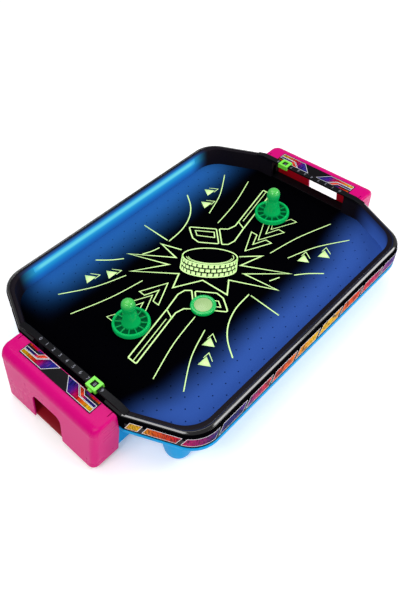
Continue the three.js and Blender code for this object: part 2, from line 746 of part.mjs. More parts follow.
place("switch_body", switchBody(), "black");
const knobStart = SWITCH_X - SWITCH_TRAVEL / 2;
const knob = box([-KNOB_WIDTH / 2, KNOB_WIDTH / 2], [148, 160.2], [SWITCH_Z - 1.8, SWITCH_Z + 1.8]);
place("switch_knob", knob, "grey").position.x = knobStart;

// ---------------------------------------------------------------- wires

function wire(points) {
  const route = new THREE.CatmullRomCurve3(points.map((point) => new THREE.Vector3(...point)));
  const section = new THREE.Shape();
  section.absarc(0, 0, 0.9, 0, 2 * Math.PI);
  const options = { steps: 18, extrudePath: route, curveSegments: 4, bevelEnabled: false };
  return new THREE.ExtrudeGeometry(section, options);
}

place("wire_battery_switch", wire([
  [BATTERY_X - 34.4, 16, 20], [62, 52, 13], [0, 112, 13], [-30, 141, 18], [-48.8, 146, 26],
]), "wire");
place("wire_switch_motor", wire([
  [SWITCH_X, 139.4, 28], [-54, 104, 14], [-40, 56, 26], [-20, 26, 38], [-4, 10.6, 40],
]), "wire");
place("wire_motor_battery", wire([
  [4, -10.6, 40], [22, -32, 38], [48, -44, 26], [66, -34, 14], [BATTERY_X - 34.4, -16, 20],
]), "wire");

export default game;
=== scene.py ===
"""Tabletop air hockey game: fine surfaces, materials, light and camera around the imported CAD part."""

import math

import bmesh
import bpy
from mathutils import Matrix, Vector
from mathutils.geometry import delaunay_2d_cdt


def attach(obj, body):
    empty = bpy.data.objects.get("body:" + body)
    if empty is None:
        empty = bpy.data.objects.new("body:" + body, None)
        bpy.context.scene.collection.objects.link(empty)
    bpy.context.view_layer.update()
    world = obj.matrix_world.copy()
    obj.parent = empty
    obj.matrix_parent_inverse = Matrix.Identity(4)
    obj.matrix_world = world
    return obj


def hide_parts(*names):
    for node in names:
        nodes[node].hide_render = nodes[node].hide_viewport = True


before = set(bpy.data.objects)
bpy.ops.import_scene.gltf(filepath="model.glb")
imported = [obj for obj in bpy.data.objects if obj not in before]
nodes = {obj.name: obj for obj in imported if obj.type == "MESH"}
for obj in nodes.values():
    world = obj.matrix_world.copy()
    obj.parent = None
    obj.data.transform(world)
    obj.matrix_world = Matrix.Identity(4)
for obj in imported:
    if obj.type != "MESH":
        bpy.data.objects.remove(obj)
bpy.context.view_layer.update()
MM = 0.001

# ---- sizes, in millimetres

FIELD = {"half_x": 224, "half_y": 163, "goal_half": 91, "run": 32.5, "radius": 38}
OUTSIDE = {"half_x": 234.5, "half_y": 176, "goal_half": 91, "run": 37.5, "radius": 37}
CORNER_STEPS = 20
GOAL_CORNER_RADIUS = 3
GOAL_CORNER_STEPS = 4
MOUTH_HALF = 64
PLAY_Z = 52
RIM_TOP = 80.3
RIM_FLAT = 79.8
LIP_TOP = 52.5
LIP_BOTTOM = 46.5
LEDGE = 49.7
TUB_FLOOR = 8.5
WALL = 2.2
NECK_END = 243
PRINT_Z = PLAY_Z + 0.02
PRINT_THICKNESS = 0.06
SHEET_THICKNESS = 2
AIR_PITCH = 11.3
AIR_RADIUS = 1.0
AIR_SIDES = 10
AIR_MARGIN = 7
RAIL_HALF_LENGTH = 156.7
RAIL_MIDDLE_Z = 72.8
BOX_FOOT_Z = 6.8
SHOULDER = 13
MOST_BEVEL_ANGLE = math.radians(40)
NECK_HALF = 79.3
LEG_X = 193
LEG_Y = 133
BOX_REAR = 235.6
BOX_TOP = 78.4
BOX_HALF_LOW = 82.1
BOX_HALF_HIGH = 87.3
BOX_FRONT_LOW = 279.8
BOX_FRONT_HIGH = 270.5
BOX_CORNER = 9
BAR_X = 226.75
BAR_TOP = 84
BAR_HALF = 94.3
SCORE_ZERO = 55
SCORE_PITCH = 12.16
SHOWN_SCORE = 8
STRIKERS = {"near": (-125.4, 10.4), "far": (153.7, 7.4)}
PUCK = (-43.5, -37)

# ---- materials


def srgb(red, green, blue):
    """0 to 255 display values as a linear colour."""
    def linear(value):
        value /= 255
        return value / 12.92 if value <= 0.04045 else ((value + 0.055) / 1.055) ** 2.4
    return (linear(red), linear(green), linear(blue), 1.0)


def shade(colour, factor):
    return tuple(min(1.0, part * factor) for part in colour[:3]) + (1.0,)


class Look:
    """A procedural material: mottled colour, uneven roughness and a fine moulded grain."""

    def __init__(self, name, colour, rough=0.4, spread=0.08, grain=900.0, bump=0.06, mottle=0.08):
        self.material = bpy.data.materials.new(name)
        self.material.use_nodes = True
        self.tree = self.material.node_tree
        self.bsdf = self.tree.nodes["Principled BSDF"]
        self.place = self.add("ShaderNodeTexCoord").outputs["Object"]
        self.fine = self.noise(grain, 3)
        self.coarse = self.noise(22.0, 4)
        self.join(self.ramp_value(self.coarse, rough - spread, rough + spread),
            self.bsdf.inputs["Roughness"])
        if colour is not None:
            low, high = shade(colour, 1 - mottle), shade(colour, 1 + mottle)
            self.paint(self.mix(self.coarse, low, high))
        if bump:
            node = self.add("ShaderNodeBump")
            node.inputs["Strength"].default_value = bump
            node.inputs["Distance"].default_value = 0.0004
            self.join(self.fine, node.inputs["Height"])
            self.join(node.outputs["Normal"], self.bsdf.inputs["Normal"])

    def add(self, kind):
        return self.tree.nodes.new(kind)

    def join(self, source, target):
        self.tree.links.new(source, target)

    def set(self, **values):
        for key, value in values.items():
            self.bsdf.inputs[key.replace("_", " ")].default_value = value
        return self

    def noise(self, scale, detail, source=None):
        node = self.add("ShaderNodeTexNoise")
        node.inputs["Scale"].default_value = scale
        node.inputs["Detail"].default_value = detail
        self.join(source or self.place, node.inputs["Vector"])
        return node.outputs["Fac"]

    def ramp_value(self, source, low, high, start=0.3, end=0.7, smooth=False):
        node = self.add("ShaderNodeMapRange")
        node.interpolation_type = "SMOOTHSTEP" if smooth else "LINEAR"
        for key, value in (("From Min", start), ("From Max", end), ("To Min", low), ("To Max", high)):
            node.inputs[key].default_value = value
        self.join(source, node.inputs["Value"])
        return node.outputs["Result"]

    def mix(self, factor, first, second):
        node = self.add("ShaderNodeMix")
        node.data_type = "RGBA"
        self.join(factor, node.inputs["Factor"])
        for value, socket in ((first, node.inputs["A"]), (second, node.inputs["B"])):
            sockets = [s for s in node.inputs if s.name == socket.name and s.type == "RGBA"]
            if isinstance(value, tuple):
                sockets[0].default_value = value
            else:
                self.join(value, sockets[0])
        return next(s for s in node.outputs if s.type == "RGBA")

    def paint(self, colour):
        self.join(colour, self.bsdf.inputs["Base Color"])

    def maths(self, operation, first, second=None):
        node = self.add("ShaderNodeMath")
        node.operation = operation
        for value, socket in ((first, node.inputs[0]), (second, node.inputs[1])):
            if isinstance(value, (int, float)):
                socket.default_value = value
            elif value is not None:
                self.join(value, socket)
        return node.outputs[0]

    def axes(self):
        node = self.add("ShaderNodeSeparateXYZ")
        self.join(self.place, node.inputs[0])
        return node.outputs["X"], node.outputs["Y"], node.outputs["Z"]

    def ramp(self, source, stops):
        node = self.add("ShaderNodeValToRGB")
        elements = node.color_ramp.elements
        while len(elements) > 1:
            elements.remove(elements[-1])
        elements[0].position, elements[0].color = stops[0]
        for position, colour in stops[1:]:
            elements.new(position).color = colour
        self.join(source, node.inputs["Fac"])
        return node.outputs["Color"]


CYAN = srgb(0, 150, 212)
PINK = srgb(203, 0, 114)
LIME = srgb(118, 226, 66)
GREEN = srgb(10, 176, 84)
INK = srgb(192, 229, 150)
YELLOW = srgb(212, 162, 4)
ORANGE = srgb(206, 82, 4)
RED = srgb(188, 6, 16)
MAGENTA = srgb(160, 2, 90)
PURPLE = srgb(74, 16, 124)
NAVY = srgb(16, 18, 96)
BLACK = srgb(12, 12, 16)


def scratched(look, amount=0.12):
    """Long faint rubbing marks in the roughness."""
    stretch = look.add("ShaderNodeMapping")
    stretch.inputs["Scale"].default_value = (4, 90, 40)
    look.join(look.place, stretch.inputs["Vector"])
    marks = look.noise(8.0, 5, stretch.outputs["Vector"])
    rough = look.bsdf.inputs["Roughness"].links[0].from_socket
    worn = look.ramp_value(marks, 0.0, amount, 0.55, 0.75)
    look.join(look.maths("ADD", rough, worn), look.bsdf.inputs["Roughness"])
    return look


def printed(name, stops, span, fold=False):
    """Ink that changes colour along X, or folded about the middle along Y, under sketchy hatching."""
    look = Look(name, None, rough=0.5, grain=1400, bump=0.03).set(Specular_IOR_Level=0.04)
    x, y, _ = look.axes()
    along = look.maths("ABSOLUTE", y) if fold else x
    share = look.ramp_value(along, 0.0, 1.0, span[0] * MM, span[1] * MM)
    colour = look.ramp(share, stops)
    stretch = look.add("ShaderNodeMapping")
    stretch.inputs["Rotation"].default_value = (0.6, 0.4, 0.9)
    stretch.inputs["Scale"].default_value = (160, 900, 160)
    look.join(look.place, stretch.inputs["Vector"])
    hatch = look.noise(1.0, 3, stretch.outputs["Vector"])
    dark = look.mix(look.ramp_value(hatch, 0.0, 0.75, 0.51, 0.61), colour, BLACK)
    look.paint(look.mix(look.ramp_value(hatch, 0.2, 0.0, 0.32, 0.42), dark, ORANGE))
    return look.material


looks = {}
looks["cyan"] = scratched(
    Look("cyan moulding", CYAN, rough=0.36, bump=0.04).set(Specular_IOR_Level=0.05)).material
looks["pink"] = scratched(
    Look("pink moulding", PINK, rough=0.3, bump=0.03, mottle=0.05).set(Specular_IOR_Level=0.1), 0.06).material
# painted shade: the tray's deep red stands for the pink plastic in shadow inside the goal box
looks["tray"] = Look("tray in painted red shade", srgb(150, 6, 26), rough=0.4).material
# inner faces of the goal boxes: deep red painted shade for the pink plastic in shadow, with a faint painted
# glow in the emission
looks["pink painted shade inside"] = Look("pink moulding, painted red shade inside", srgb(190, 6, 36), rough=0.4).set(
    Emission_Color=srgb(190, 10, 30), Emission_Strength=0.16, Specular_IOR_Level=0.2).material
looks["lime"] = Look("lime slider", LIME, rough=0.3).material
looks["felt"] = Look("felt", srgb(30, 38, 34), rough=0.95, spread=0.04, grain=2600, bump=0.9,
    mottle=0.3).material
looks["rubber"] = Look("foot rubber", srgb(30, 30, 32), rough=0.85, grain=1800, bump=0.4,
    mottle=0.2).material
looks["steel"] = scratched(
    Look("plated steel", srgb(196, 198, 204), rough=0.28, bump=0.03).set(Metallic=1.0)).material
looks["grey"] = Look("grey moulding", srgb(78, 82, 90), rough=0.5, grain=1200, bump=0.14).material
looks["white"] = Look("white moulding", srgb(214, 214, 206), rough=0.45).material
looks["black"] = scratched(
    Look("black moulding", BLACK, rough=0.36, mottle=0.25).set(Specular_IOR_Level=0.1)).material
# painted glow: the pale ink's colour is also given as emission
looks["ink"] = Look("pale ink, painted glow", INK, rough=0.4, mottle=0.06).set(
    Emission_Color=INK, Emission_Strength=0.42).material
looks["number"] = Look("number ink", srgb(128, 130, 142), rough=0.4).material
looks["white ink"] = Look("white ink", srgb(226, 226, 232), rough=0.35, mottle=0.04).set(
    Specular_IOR_Level=0.1).material
looks["black ink"] = Look("black ink", srgb(7, 6, 10), rough=0.4, mottle=0.3).set(
    Specular_IOR_Level=0.1).material


def frame_look():
    """Black gloss of the frame's outside."""
    look = Look("black gloss", srgb(4, 4, 6), rough=0.24, spread=0.05, grain=700, bump=0.03, mottle=0.2)
    return scratched(look.set(Specular_IOR_Level=0.0), 0.06).material


def wall_look():
    """The same black on the inner walls and the flat top, with the blue light of the light bars painted on as
    emission.
    """
    look = Look("black gloss, painted blue glow", srgb(22, 18, 25), rough=0.34, spread=0.05, grain=700, bump=0.03,
        mottle=0.2)
    x, y, z = look.axes()
    height = look.ramp_value(z, 0.0, 1.0, PLAY_Z * MM, RIM_FLAT * MM)
    below_top = look.ramp_value(z, 1.0, 0.0, 78.9 * MM, 79.5 * MM)
    along = look.ramp_value(look.maths("ABSOLUTE", x), 1.0, 0.0, 146 * MM, 184 * MM, smooth=True)
    back = look.maths("MULTIPLY", along, look.ramp_value(y, 0.0, 1.0, 104 * MM, 150 * MM, smooth=True))
    back = look.maths("MULTIPLY", back, look.ramp_value(y, 1.0, 0.0, 163.5 * MM, 168.5 * MM, smooth=True))
    front = look.maths("MULTIPLY", look.ramp_value(y, 1.0, 0.0, -132 * MM, -84 * MM, smooth=True),
        below_top)
    # painted glow of the light bars: brightest at bar height along the back wall, a dimmer painted blue on
    # the front wall
    painted_glow = look.ramp(height, [
        (0.0, srgb(22, 90, 176)), (0.25, srgb(20, 116, 208)), (0.43, srgb(24, 146, 222)),
        (0.57, srgb(42, 172, 234)), (0.92, srgb(40, 168, 232)), (0.97, srgb(24, 118, 202)),
        (1.0, srgb(16, 92, 172)),
    ])
    painted_dim_glow = look.ramp(height, [(0.0, srgb(48, 86, 172)), (0.6, srgb(40, 74, 152)), (0.95, srgb(24, 46, 100))])
    lit = look.mix(front, look.mix(back, (0, 0, 0, 1), painted_glow), painted_dim_glow)
    look.join(lit, look.bsdf.inputs["Emission Color"])
    look.set(Emission_Strength=0.85, Specular_IOR_Level=0.04)
    return look.material


def field_look():
    """Black sheet with a painted blue glow from the light bars that fades in towards both long walls, as
    colour and as emission.
    """
    look = Look("field sheet, painted bar glow", None, rough=0.4, spread=0.06, grain=1200, bump=0.03)
    x, y, _ = look.axes()
    wander = look.ramp_value(look.noise(7.0, 2), -0.005, 0.005)
    edge = look.maths("ADD", y, wander)
    back = look.ramp_value(edge, 0.0, 1.0, 82 * MM, 168 * MM, smooth=True)
    back = look.maths("MULTIPLY", back, look.ramp_value(x, 0.0, 1.0, -208 * MM, -136 * MM, smooth=True))
    bend = look.ramp_value(x, 0.018, 0.0, -222 * MM, -160 * MM, smooth=True)
    bend = look.maths("ADD", bend, look.ramp_value(x, 0.0, 0.022, 110 * MM, 222 * MM, smooth=True))
    front = look.ramp_value(look.maths("SUBTRACT", edge, bend), 1.0, 0.0, -130 * MM, -74 * MM, smooth=True)
    # painted glow: the light bars' blue light on the sheet, strongest next to the walls
    blue = look.maths("POWER", look.maths("MAXIMUM", back, front), 1.35)
    side = look.ramp_value(y, 0.0, 1.0, -40 * MM, 40 * MM)
    tint = look.mix(side, srgb(44, 76, 148), srgb(34, 90, 158))
    look.paint(look.mix(blue, srgb(2, 2, 4), tint))
    look.join(look.mix(blue, (0, 0, 0, 1), tint), look.bsdf.inputs["Emission Color"])
    look.set(Emission_Strength=0.2, Specular_IOR_Level=0.0)
    return look.material


def light_look():
    """Milky light guide, brightest along its middle line."""
    look = Look("light guide", srgb(4, 24, 34), rough=0.3, bump=0.02)
    x, _, z = look.axes()
    share = look.ramp_value(look.maths("ABSOLUTE", x), 0.0, 1.0, 0.0, 157 * MM)
    colour = look.ramp(share, [(0.0, srgb(106, 222, 242)), (0.93, srgb(106, 222, 242)),
        (1.0, srgb(60, 176, 230))])
    off = look.maths("ABSOLUTE", look.maths("SUBTRACT", z, RAIL_MIDDLE_Z * MM))
    core = look.ramp_value(off, 1.0, 0.0, 0.9 * MM, 5.4 * MM, smooth=True)
    look.join(look.mix(core, srgb(36, 158, 228), colour), look.bsdf.inputs["Emission Color"])
    look.set(Emission_Strength=0.92, Specular_IOR_Level=0.2)
    return look.material


def striker_look():
    """Clear green plastic, with painted shade darkening the recessed ring and a painted glow in the emission.
    """
    look = Look("clear green, painted shade and glow", None, rough=0.12, spread=0.04, grain=500, bump=0.02)
    x, y, z = look.axes()
    # painted shade: darker green on the floor of the recessed ring, between the ribs
    recess_shade = look.ramp_value(z, 1.0, 0.0, 4.8 * MM, 9 * MM)
    radius = look.maths("SQRT", look.maths("ADD", look.maths("MULTIPLY", x, x),
        look.maths("MULTIPLY", y, y)))
    recess_shade = look.maths("MULTIPLY", recess_shade, look.ramp_value(radius, 1.0, 0.0, 20.6 * MM, 21.4 * MM))
    colour = look.mix(recess_shade, srgb(8, 172, 88), srgb(0, 84, 46))
    tip = look.ramp_value(z, 0.0, 0.6, 38 * MM, 46 * MM)
    colour = look.mix(tip, colour, srgb(92, 186, 70))
    look.paint(colour)
    # painted glow: the plastic's colour is also given as emission
    look.join(colour, look.bsdf.inputs["Emission Color"])
    look.set(Emission_Strength=0.26, Transmission_Weight=0.1, IOR=1.46, Specular_IOR_Level=0.0,
        Coat_Roughness=0.03)
    look.join(look.ramp_value(z, 0.0, 0.8, 10 * MM, 16 * MM), look.bsdf.inputs["Coat Weight"])
    return look.material


def bead_look():
    """The polished bead round the top of the black frame."""
    look = Look("black polish", srgb(9, 8, 12), rough=0.12, spread=0.03, grain=500, bump=0.01, mottle=0.2)
    return scratched(look.set(Specular_IOR_Level=0.5, Coat_Weight=0.7, Coat_Roughness=0.08), 0.04).material


looks["frame"] = frame_look()
looks["wall"] = wall_look()
looks["bead"] = bead_look()
looks["field"] = field_look()
looks["light"] = light_look()
looks["striker"] = striker_look()
# painted glow: the puck's green is also given as emission
looks["puck"] = Look("puck green, painted glow", GREEN, rough=0.2, bump=0.02).set(
    Emission_Color=GREEN, Emission_Strength=0.35, Transmission_Weight=0.25, Coat_Weight=0.3).material
looks["core"] = Look("puck core", srgb(160, 194, 130), rough=0.3, bump=0.02).material
BAND_STOPS = [
    (0.0, NAVY), (0.01, YELLOW), (0.022, YELLOW), (0.034, ORANGE), (0.056, RED), (0.07, MAGENTA),
    (0.125, NAVY), (0.2, NAVY), (0.235, PURPLE), (0.27, MAGENTA), (0.32, RED), (0.4, ORANGE),
    (0.5, YELLOW), (0.58, YELLOW), (0.63, ORANGE), (0.72, RED), (0.79, MAGENTA), (0.85, PURPLE),
    (0.92, NAVY), (0.95, RED), (1.0, YELLOW),
]
looks["band front"] = printed("band ink front", BAND_STOPS, (-237, 237))
looks["band back"] = printed("band ink back", BAND_STOPS, (237, -237))
SALMON = srgb(226, 66, 40)
BLUE = srgb(34, 34, 138)
LABEL_STOPS = [
    (0.1, BLUE), (0.3, BLUE), (0.4, PURPLE), (0.47, MAGENTA), (0.58, RED), (0.7, ORANGE), (0.84, YELLOW),
]
looks["label"] = printed("label ink", LABEL_STOPS, (0, 66), fold=True)
NAVY_STOPS = [(0.4, SALMON), (0.6, SALMON), (0.65, MAGENTA), (0.72, NAVY), (1.0, NAVY)]
looks["label navy"] = printed("label navy", NAVY_STOPS, (0, 66), fold=True)
RED_STOPS = [(0.58, BLUE), (0.68, PURPLE), (0.74, RED), (0.84, RED), (0.94, ORANGE)]
looks["label red"] = printed("label red", RED_STOPS, (0, 66), fold=True)

# ---- shapes: each is (points, faces)


def merge(*shapes):
    points, faces = [], []
    for more_points, more_faces in shapes:
        start = len(points)
        points += more_points
        faces += [tuple(index + start for index in face) for face in more_faces]
    return points, faces


def moved(shape, x=0, y=0, z=0, turn=0):
    cos, sin = math.cos(turn), math.sin(turn)
    points = [(cos * p[0] - sin * p[1] + x, sin * p[0] + cos * p[1] + y, p[2] + z) for p in shape[0]]
    return points, shape[1]


def block(xs, ys, zs):
    (x0, x1), (y0, y1), (z0, z1) = sorted(xs), sorted(ys), sorted(zs)
    points = [(x, y, z) for z in (z0, z1) for y in (y0, y1) for x in (x0, x1)]
    faces = [(0, 2, 3, 1), (4, 5, 7, 6), (0, 1, 5, 4), (2, 6, 7, 3), (0, 4, 6, 2), (1, 3, 7, 5)]
    return points, faces


def skin(loops, closed_stack=False):
    """Faces over a stack of loops with equal counts; open stacks get end caps."""
    count = len(loops[0])
    points = [tuple(point) for loop in loops for point in loop]
    faces = []
    rows = len(loops) if closed_stack else len(loops) - 1
    for row in range(rows):
        below, above = row * count, ((row + 1) % len(loops)) * count
        for i in range(count):
            j = (i + 1) % count
            faces.append((below + i, below + j, above + j, above + i))
    if not closed_stack:
        faces.append(tuple(reversed(range(count))))
        faces.append(tuple(range(len(points) - count, len(points))))
    return points, faces


def turned(profile, steps=64, ring=False):
    """Lathe about Z. A ring's profile closes on itself; another starts and ends near the axis."""
    loops = []
    for radius, z in profile:
        loops.append([
            (radius * math.cos(2 * math.pi * i / steps), radius * math.sin(2 * math.pi * i / steps), z)
            for i in range(steps)
        ])
    return skin(loops, closed_stack=ring)


def curve_through(points, steps=6):
    """Smooth polyline through the points."""
    smooth = []
    for i in range(len(points) - 1):
        p0, p1 = Vector(points[max(0, i - 1)]), Vector(points[i])
        p2, p3 = Vector(points[i + 1]), Vector(points[min(len(points) - 1, i + 2)])
        for step in range(steps):
            t = step / steps
            second = (2 * p0 - 5 * p1 + 4 * p2 - p3) * t ** 2
            third = (3 * p1 - p0 - 3 * p2 + p3) * t ** 3
            smooth.append(tuple((2 * p1 + (p2 - p0) * t + second + third) / 2))
    smooth.append(tuple(points[-1]))
    return smooth


def corners_of(plan, offset=0):
    """The octagon's corners, counter-clockwise from the front of the +X end, moved outwards."""
    x, y, goal, run = plan["half_x"], plan["half_y"], plan["goal_half"], plan["run"]
    raw = [(x, -goal), (x, goal), (x - run, y), (run - x, y)]
    raw = [Vector(corner) for corner in raw + [(-a, -b) for a, b in raw]]
    corners = []
    for i, corner in enumerate(raw):
        before = (corner - raw[i - 1]).normalized()
        after = (raw[(i + 1) % 8] - corner).normalized()
        first, second = Vector((before.y, -before.x)), Vector((after.y, -after.x))
        corners.append(corner + (first + second) * (offset / (1 + first.dot(second))))
    return corners


def rounded(before, corner, after, radius, steps):
    back, ahead = (before - corner).normalized(), (after - corner).normalized()
    half = math.acos(max(-1, min(1, back.dot(ahead)))) / 2
    centre = corner + (back + ahead).normalized() * (radius / math.sin(half))
    start = corner + back * (radius / math.tan(half)) - centre
    sweep = math.pi - 2 * half
    if back.cross(ahead) > 0:
        sweep = -sweep
    points = []
    for i in range(steps + 1):
        angle = sweep * i / steps
        cos, sin = math.cos(angle), math.sin(angle)
        points.append(centre + Vector((cos * start.x - sin * start.y, sin * start.x + cos * start.y)))
    return points


def outline(plan, offset=0):
    corners = corners_of(plan, offset)
    points = []
    for i, corner in enumerate(corners):
        is_long = i % 4 >= 2
        radius = plan["radius"] + offset if is_long else GOAL_CORNER_RADIUS
        steps = CORNER_STEPS if is_long else GOAL_CORNER_STEPS
        points += rounded(corners[i - 1], corner, corners[(i + 1) % 8], radius, steps)
    return points


def half_outline(plan, offset=0, mouth=MOUTH_HALF):
    """The back half of an outline, from one goal mouth to the other."""
    points = [point for point in outline(plan, offset) if point.y > 0]
    x = plan["half_x"] + offset
    return [Vector((x, mouth))] + points + [Vector((-x, mouth))]


def ribbon(points, width, z=PRINT_Z, thick=PRINT_THICKNESS, closed=False):
    """A flat printed line with mitred corners."""
    spots = [Vector(point[:2]) for point in points]
    count = len(spots)
    left, right = [], []
    for i, spot in enumerate(spots):
        before = spots[i - 1] if closed or i else None
        after = spots[(i + 1) % count] if closed or i < count - 1 else None
        ways = []
        if before is not None:
            ways.append((spot - before).normalized())
        if after is not None:
            ways.append((after - spot).normalized())
        sides = [Vector((-way.y, way.x)) for way in ways]
        side = sum(sides, Vector((0, 0)))
        if side.length < 1e-6:
            side = sides[0]
        side.normalize()
        reach = width / 2 / max(0.3, side.dot(sides[0]))
        left.append(spot + side * reach)
        right.append(spot - side * reach)
    loops = []
    for a, b in zip(left, right):
        loops.append([(a.x, a.y, z), (b.x, b.y, z), (b.x, b.y, z + thick), (a.x, a.y, z + thick)])
    return skin(loops, closed_stack=closed)


def flat(points, z=PRINT_Z, thick=PRINT_THICKNESS):
    """A filled printed patch."""
    return skin([[(p[0], p[1], z) for p in points], [(p[0], p[1], z + thick) for p in points]])


# ---- objects


def make(name, shape, look, body="table", smooth=35, bevel=0.0, segments=2, origin=(0, 0, 0), drops=()):
    """A mesh object from a shape in millimetres, riding on a body."""
    mesh = bpy.data.meshes.new(name)
    centre = Vector(origin)
    mesh.from_pydata([(Vector(point) - centre) * MM for point in shape[0]], [], shape[1])
    tidy = bmesh.new()
    tidy.from_mesh(mesh)
    bmesh.ops.remove_doubles(tidy, verts=tidy.verts, dist=1e-7)
    bmesh.ops.recalc_face_normals(tidy, faces=tidy.faces)
    tidy.to_mesh(mesh)
    tidy.free()
    piece = bpy.data.objects.new(name, mesh)
    bpy.context.scene.collection.objects.link(piece)
    piece.location = centre * MM
    mesh.materials.append(looks[look])
    soften(piece, smooth, bevel, segments)
    if body:
        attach(piece, body)
    if drops:
        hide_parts(*drops)
    return piece


def soften(piece, smooth=35, bevel=0.0, segments=2):
    piece.data.shade_smooth()
    piece.data.set_sharp_from_angle(angle=math.radians(smooth))
    if bevel:
        edge = piece.modifiers.new("soft edges", "BEVEL")
        edge.width = bevel * MM
        edge.segments = segments
        edge.limit_method = "ANGLE"
        edge.angle_limit = MOST_BEVEL_ANGLE
        edge.harden_normals = True


def carve(piece, *shapes, operation="DIFFERENCE", inside_look=None):
    """Cut shapes out of a piece, or join them on, and keep the result as its mesh."""
    # bevels wait until the cut is made
    held = list(piece.modifiers)
    for modifier in held:
        modifier.show_viewport = False
    helpers = []
    for shape in shapes:
        helper = make(piece.name + "_tool", shape, inside_look or "black", body=None)
        helpers.append(helper)
        step = piece.modifiers.new("carve", "BOOLEAN")
        step.operation = operation
        step.solver = "EXACT"
        step.object = helper
        if inside_look:
            step.material_mode = "TRANSFER"
    bpy.context.view_layer.update()
    done = bpy.data.meshes.new_from_object(piece.evaluated_get(bpy.context.evaluated_depsgraph_get()))
    for modifier in [m for m in piece.modifiers if m.type == "BOOLEAN"]:
        piece.modifiers.remove(modifier)
    for helper in helpers:
        bpy.data.objects.remove(helper)
    piece.data = done
    for modifier in held:
        modifier.show_viewport = True
    soften(piece)
    return piece


def both_ends(build):
    """Builds a piece for the +X end and again, turned half round, for the -X end."""
    for name, turn in (("far", 0.0), ("near", math.pi)):
        build(name, lambda shape, turn=turn: moved(shape, turn=turn))


# ---- playing surface


def field_plate():
    """The sheet with its real air holes: a square lattice turned 45 degrees."""
    edge = [tuple(point) for point in outline(FIELD, 3)]
    inner = outline(FIELD, -AIR_MARGIN)
    points, loops = list(edge), [list(range(len(edge)))]
    reach_x, reach_y = int(FIELD["half_x"] / AIR_PITCH), int(FIELD["half_y"] / AIR_PITCH)
    for i in range(-reach_x, reach_x + 1):
        for j in range(-reach_y, reach_y + 1):
            spot = Vector((i * AIR_PITCH, j * AIR_PITCH))
            if (i + j) % 2 or not inside(spot, inner):
                continue
            start = len(points)
            for k in range(AIR_SIDES):
                angle = 2 * math.pi * (k + 0.5) / AIR_SIDES
                points.append((spot.x + AIR_RADIUS * math.cos(angle),
                    spot.y + AIR_RADIUS * math.sin(angle)))
            loops.append(list(range(start, start + AIR_SIDES)))
    edges = [(loop[k - 1], loop[k]) for loop in loops for k in range(len(loop))]
    spots, _, triangles, origins, _, _ = delaunay_2d_cdt([Vector(p) for p in points], edges, [], 1, 1e-6)
    loop_of = [(min(origin) - len(edge)) // AIR_SIDES if origin else -1 for origin in origins]
    # a triangle whose corners all lie on one hole's edge would fill that hole
    triangles = [face for face in triangles
        if loop_of[face[0]] < 0 or len({loop_of[index] for index in face}) > 1]
    count = len(spots)
    solid = [(p.x, p.y, PLAY_Z) for p in spots] + [(p.x, p.y, PLAY_Z - SHEET_THICKNESS) for p in spots]
    faces = [tuple(face) for face in triangles]
    faces += [tuple(index + count for index in reversed(face)) for face in triangles]
    border = {}
    for face in triangles:
        for k in range(3):
            pair = (face[k - 1], face[k])
            border[pair] = border.get(pair, 0) + 1
    for a, b in border:
        if (b, a) not in border:
            faces.append((b, a, a + count, b + count))
    return solid, faces


def inside(spot, loop):
    hit = False
    for k in range(len(loop)):
        a, b = loop[k - 1], loop[k]
        if (a.y > spot.y) != (b.y > spot.y):
            if spot.x < (b.x - a.x) * (spot.y - a.y) / (b.y - a.y) + a.x:
                hit = not hit
    return hit


make("play_sheet", field_plate(), "field", drops=["play_surface"])

# centre of the print, a little off the middle of the sheet
ART_X, ART_Y = 14, 8


def art(points):
    return [(x + ART_X, y + ART_Y) for x, y in points]


def half_turn(points):
    return [(-x, -y) for x, y in points]


def rounded_loop(points, radius, steps=3):
    spots = [Vector(point) for point in points]
    loop = []
    for i, spot in enumerate(spots):
        loop += rounded(spots[i - 1], spot, spots[(i + 1) % len(spots)], radius, steps)
    return [tuple(point) for point in loop]


def speed_lines():
    """Curved lines that fan out towards the four corners, and one broken arc on each long side."""
    lines = []
    for side_x in (-1, 1):
        for side_y in (-1, 1):
            for path in ([(84, 72), (126, 88), (168, 115)], [(76, 48), (126, 58), (179, 76)]):
                lines.append(ribbon(art(curve_through([(side_x * x, side_y * y) for x, y in path])), 1.4))
    long_arc = [(2, 75), (32, 78), (58, 88), (78, 104), (94, 126)]
    short_arc = [(-64, 98), (-78, 110), (-92, 126)]
    arcs = [long_arc, short_arc, [(-16, 76), (-28, 79), (-41, 85)]]
    arcs += [half_turn(long_arc), half_turn(short_arc), [(34, -80), (41, -83), (48, -86)]]
    for arc in arcs:
        lines.append(ribbon(art(curve_through(arc)), 1.7))
    for spoke in ([(2, 78), (3, 126)], [(-2, -78), (-5, -126)]):
        lines.append(ribbon(art(spoke), 1.7))
    return lines


def burst():
    """An open burst of straight spikes round the disc, the same on both sides of its axis."""
    centre, axis = (8, 6), 211
    half = [(0, 36), (33, 67), (49, 45), (70, 106), (74, 54), (88, 113), (90, 45), (108, 75), (112, 44)]
    loop = []
    for turn, radius in [(-turn, radius) for turn, radius in reversed(half[1:])] + half:
        angle = math.radians(axis + turn)
        loop.append((centre[0] + radius * math.cos(angle), centre[1] + radius * math.sin(angle)))
    return loop


def stick_lines():
    """A plain hockey stick: shaft, blade, a groove in the blade, binding and a line along the shaft."""
    shaft = [(177, 45), (88, 25), (76, 28), (68, 38), (46, 14), (52, 7), (63, 5), (90, 12), (177, 31)]
    blade = [(65, 41), (43, 74), (37, 66), (29, 54), (28, 42), (44, 18)]
    groove = [(58, 39), (43, 62), (37, 53), (50, 31)]
    return [
        (rounded_loop(shaft, 1.5), 1.9, True), (rounded_loop(blade, 2), 1.9, True), (groove, 1.5, True),
        ([(98, 28), (91, 12)], 1.6, False), ([(103, 23), (176, 39)], 1.3, False),
    ]


def chevron(x, y, width):
    back = x + 36
    corners = [(x, y), (back, y + 18), (back, y + 8), (x + 17, y), (back, y - 8), (back, y - 18)]
    return ribbon(art(corners), width, closed=True)


